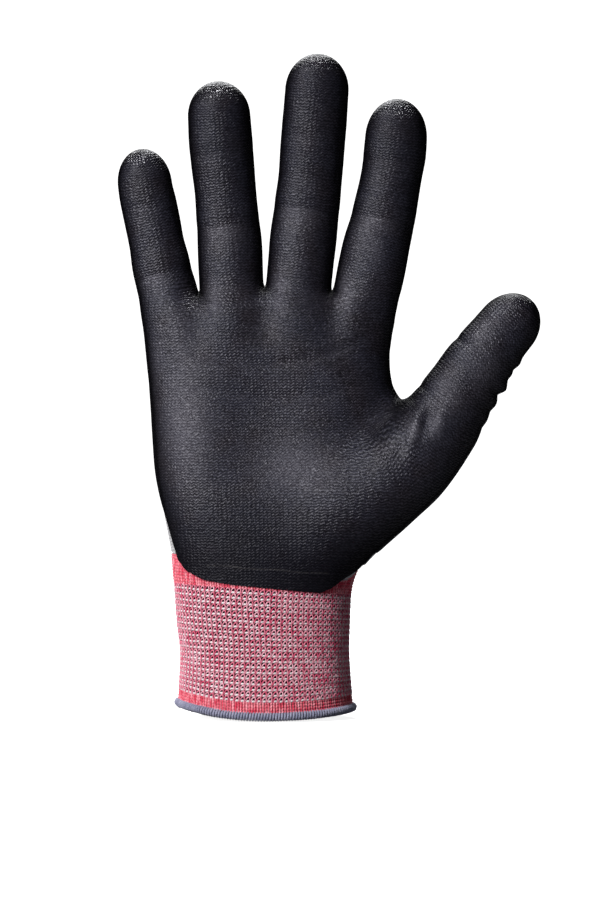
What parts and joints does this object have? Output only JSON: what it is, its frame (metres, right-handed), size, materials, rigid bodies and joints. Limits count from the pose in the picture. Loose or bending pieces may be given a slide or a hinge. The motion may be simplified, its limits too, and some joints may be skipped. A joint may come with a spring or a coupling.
{
  "type": "cut resistant glove",
  "caption": "Knitted cut resistant glove with a dipped foam palm, jointed finger and thumb stalls, elastic rib cuff and overlocked hem.",
  "frame": {"origin": "centre of the wrist opening, in the plane of the hem's foot", "axes": "+Z from the hem to the fingertips, palm towards -Y, thumb towards +X"},
  "size_m": [0.1556, 0.0523, 0.2452],
  "materials": {
    "liner_knit": "light grey plain knit of high-strength yarn",
    "foam_coating": "matt to satin foam dip, the knit courses show through",
    "cuff_knit": "red and grey plated rib knit",
    "cuff_band": "plain red rib knit",
    "elastic_yarn": "covered elastic yarn",
    "hem_thread": "blue-grey overlock thread"
  },
  "bodies": {
    "cuff": {"cuff_knit": "cuff_knit", "cuff_elastic_1": "elastic_yarn", "cuff_elastic_2": "elastic_yarn", "cuff_elastic_3": "elastic_yarn", "cuff_elastic_4": "elastic_yarn", "cuff_elastic_5": "elastic_yarn", "cuff_hem": "hem_thread"},
    "wrist": {"cuff_upper_knit": "cuff_knit", "cuff_top_band": "cuff_band", "coat_tongue": "foam_coating"},
    "hand": {"liner_hand": "liner_knit", "coat_hand": "foam_coating"},
    "little_root": {"liner_little_root": "liner_knit", "coat_little_root": "foam_coating"},
    "little_proximal": {"liner_little_proximal": "liner_knit", "coat_little_proximal": "foam_coating"},
    "little_middle": {"liner_little_middle": "liner_knit", "coat_little_middle": "foam_coating"},
    "little_distal": {"liner_little_distal": "liner_knit", "coat_little_distal": "foam_coating"},
    "ring_root": {"liner_ring_root": "liner_knit", "coat_ring_root": "foam_coating"},
    "ring_proximal": {"liner_ring_proximal": "liner_knit", "coat_ring_proximal": "foam_coating"},
    "ring_middle": {"liner_ring_middle": "liner_knit", "coat_ring_middle": "foam_coating"},
    "ring_distal": {"liner_ring_distal": "liner_knit", "coat_ring_distal": "foam_coating"},
    "middle_root": {"liner_middle_root": "liner_knit", "coat_middle_root": "foam_coating"},
    "middle_proximal": {"liner_middle_proximal": "liner_knit", "coat_middle_proximal": "foam_coating"},
    "middle_middle": {"liner_middle_middle": "liner_knit", "coat_middle_middle": "foam_coating"},
    "middle_distal": {"liner_middle_distal": "liner_knit", "coat_middle_distal": "foam_coating"},
    "index_root": {"liner_index_root": "liner_knit", "coat_index_root": "foam_coating"},
    "index_proximal": {"liner_index_proximal": "liner_knit", "coat_index_proximal": "foam_coating"},
    "index_middle": {"liner_index_middle": "liner_knit", "coat_index_middle": "foam_coating"},
    "index_distal": {"liner_index_distal": "liner_knit", "coat_index_distal": "foam_coating"},
    "thumb_root": {"liner_thumb_root": "liner_knit", "coat_thumb_root": "foam_coating"},
    "thumb_proximal": {"liner_thumb_proximal": "liner_knit", "coat_thumb_proximal": "foam_coating"},
    "thumb_distal": {"liner_thumb_distal": "liner_knit", "coat_thumb_distal": "foam_coating"}
  },
  "joints": [
    {"name": "wrist_flex", "type": "hinge", "parent": "cuff", "child": "wrist", "pos_m": [-0.0007, 0, 0.034], "axis": [1, 0, 0], "range_deg": [-30, 40], "stiffness_Nm_per_rad": 0.15},
    {"name": "wrist_deviation", "type": "hinge", "parent": "wrist", "child": "hand", "pos_m": [-0.0003, 0, 0.058], "axis": [0, 1, 0], "range_deg": [-12, 12], "stiffness_Nm_per_rad": 0.15},
    {"name": "little_spread", "type": "hinge", "parent": "hand", "child": "little_root", "pos_m": [-0.0362, 0, 0.157], "axis": [0, 1, 0], "range_deg": [-6, 9], "stiffness_Nm_per_rad": 0.02},
    {"name": "little_knuckle", "type": "hinge", "parent": "little_root", "child": "little_proximal", "pos_m": [-0.03793, -0.00441, 0.16465], "axis": [0.9759, 0, 0.2181], "range_deg": [-12, 68], "stiffness_Nm_per_rad": 0.012},
    {"name": "little_middle", "type": "hinge", "parent": "little_proximal", "child": "little_middle", "pos_m": [-0.04031, -0.00473, 0.17627], "axis": [0.9823, 0, 0.1873], "range_deg": [0, 78], "stiffness_Nm_per_rad": 0.012},
    {"name": "little_end", "type": "hinge", "parent": "little_middle", "child": "little_distal", "pos_m": [-0.04322, -0.00559, 0.19037], "axis": [0.9785, 0, 0.2064], "range_deg": [0, 46.8], "stiffness_Nm_per_rad": 0.012},
    {"name": "ring_spread", "type": "hinge", "parent": "hand", "child": "ring_root", "pos_m": [-0.0124, 0, 0.157], "axis": [0, 1, 0], "range_deg": [-4, 4.5], "stiffness_Nm_per_rad": 0.02},
    {"name": "ring_knuckle", "type": "hinge", "parent": "ring_root", "child": "ring_proximal", "pos_m": [-0.01271, -0.0048, 0.16592], "axis": [0.9994, 0, 0.0337], "range_deg": [-12, 72], "stiffness_Nm_per_rad": 0.012},
    {"name": "ring_middle", "type": "hinge", "parent": "ring_proximal", "child": "ring_middle", "pos_m": [-0.01378, -0.00544, 0.18468], "axis": [0.9962, 0, 0.0869], "range_deg": [0, 82], "stiffness_Nm_per_rad": 0.012},
    {"name": "ring_end", "type": "hinge", "parent": "ring_middle", "child": "ring_distal", "pos_m": [-0.01605, -0.00766, 0.20923], "axis": [0.9961, 0, 0.0882], "range_deg": [0, 49.2], "stiffness_Nm_per_rad": 0.012},
    {"name": "middle_spread", "type": "hinge", "parent": "hand", "child": "middle_root", "pos_m": [0.0122, 0, 0.157], "axis": [0, -1, 0], "range_deg": [-4, 4.5], "stiffness_Nm_per_rad": 0.02},
    {"name": "middle_knuckle", "type": "hinge", "parent": "middle_root", "child": "middle_proximal", "pos_m": [0.01303, -0.0049, 0.16587], "axis": [0.9957, 0, -0.0925], "range_deg": [-12, 72], "stiffness_Nm_per_rad": 0.012},
    {"name": "middle_middle", "type": "hinge", "parent": "middle_proximal", "child": "middle_middle", "pos_m": [0.01518, -0.00569, 0.18655], "axis": [0.9927, 0, -0.1204], "range_deg": [0, 82], "stiffness_Nm_per_rad": 0.012},
    {"name": "middle_end", "type": "hinge", "parent": "middle_middle", "child": "middle_distal", "pos_m": [0.01789, -0.00809, 0.21404], "axis": [0.9974, 0, -0.0719], "range_deg": [0, 49.2], "stiffness_Nm_per_rad": 0.012},
    {"name": "index_spread", "type": "hinge", "parent": "hand", "child": "index_root", "pos_m": [0.0376, 0, 0.157], "axis": [0, -1, 0], "range_deg": [-6, 7.2], "stiffness_Nm_per_rad": 0.02},
    {"name": "index_knuckle", "type": "hinge", "parent": "index_root", "child": "index_proximal", "pos_m": [0.03935, -0.00497, 0.1657], "axis": [0.9803, 0, -0.1975], "range_deg": [-12, 72], "stiffness_Nm_per_rad": 0.012},
    {"name": "index_middle", "type": "hinge", "parent": "index_proximal", "child": "index_middle", "pos_m": [0.04341, -0.00564, 0.18397], "axis": [0.9727, 0, -0.2322], "range_deg": [0, 82], "stiffness_Nm_per_rad": 0.012},
    {"name": "index_end", "type": "hinge", "parent": "index_middle", "child": "index_distal", "pos_m": [0.04756, -0.00754, 0.20525], "axis": [0.9904, 0, -0.1383], "range_deg": [0, 49.2], "stiffness_Nm_per_rad": 0.012},
    {"name": "thumb_swing", "type": "hinge", "parent": "hand", "child": "thumb_root", "pos_m": [0.06473, -0.01197, 0.10912], "axis": [0.0566, 0.9942, 0.091], "range_deg": [-15, 6], "stiffness_Nm_per_rad": 0.02},
    {"name": "thumb_knuckle", "type": "hinge", "parent": "thumb_root", "child": "thumb_proximal", "pos_m": [0.0671, -0.01748, 0.11889], "axis": [-0.6689, 0.5709, 0.476], "range_deg": [-50, 12], "stiffness_Nm_per_rad": 0.012},
    {"name": "thumb_tip", "type": "hinge", "parent": "thumb_proximal", "child": "thumb_distal", "pos_m": [0.07813, -0.01858, 0.13479], "axis": [-0.6237, 0.5713, 0.5335], "range_deg": [-60, 15], "stiffness_Nm_per_rad": 0.012}
  ],
  "couplings": [
    {"joint": "little_end", "follows": "little_middle", "ratio": 0.6},
    {"joint": "ring_end", "follows": "ring_middle", "ratio": 0.6},
    {"joint": "middle_end", "follows": "middle_middle", "ratio": 0.6},
    {"joint": "index_end", "follows": "index_middle", "ratio": 0.6}
  ]
}
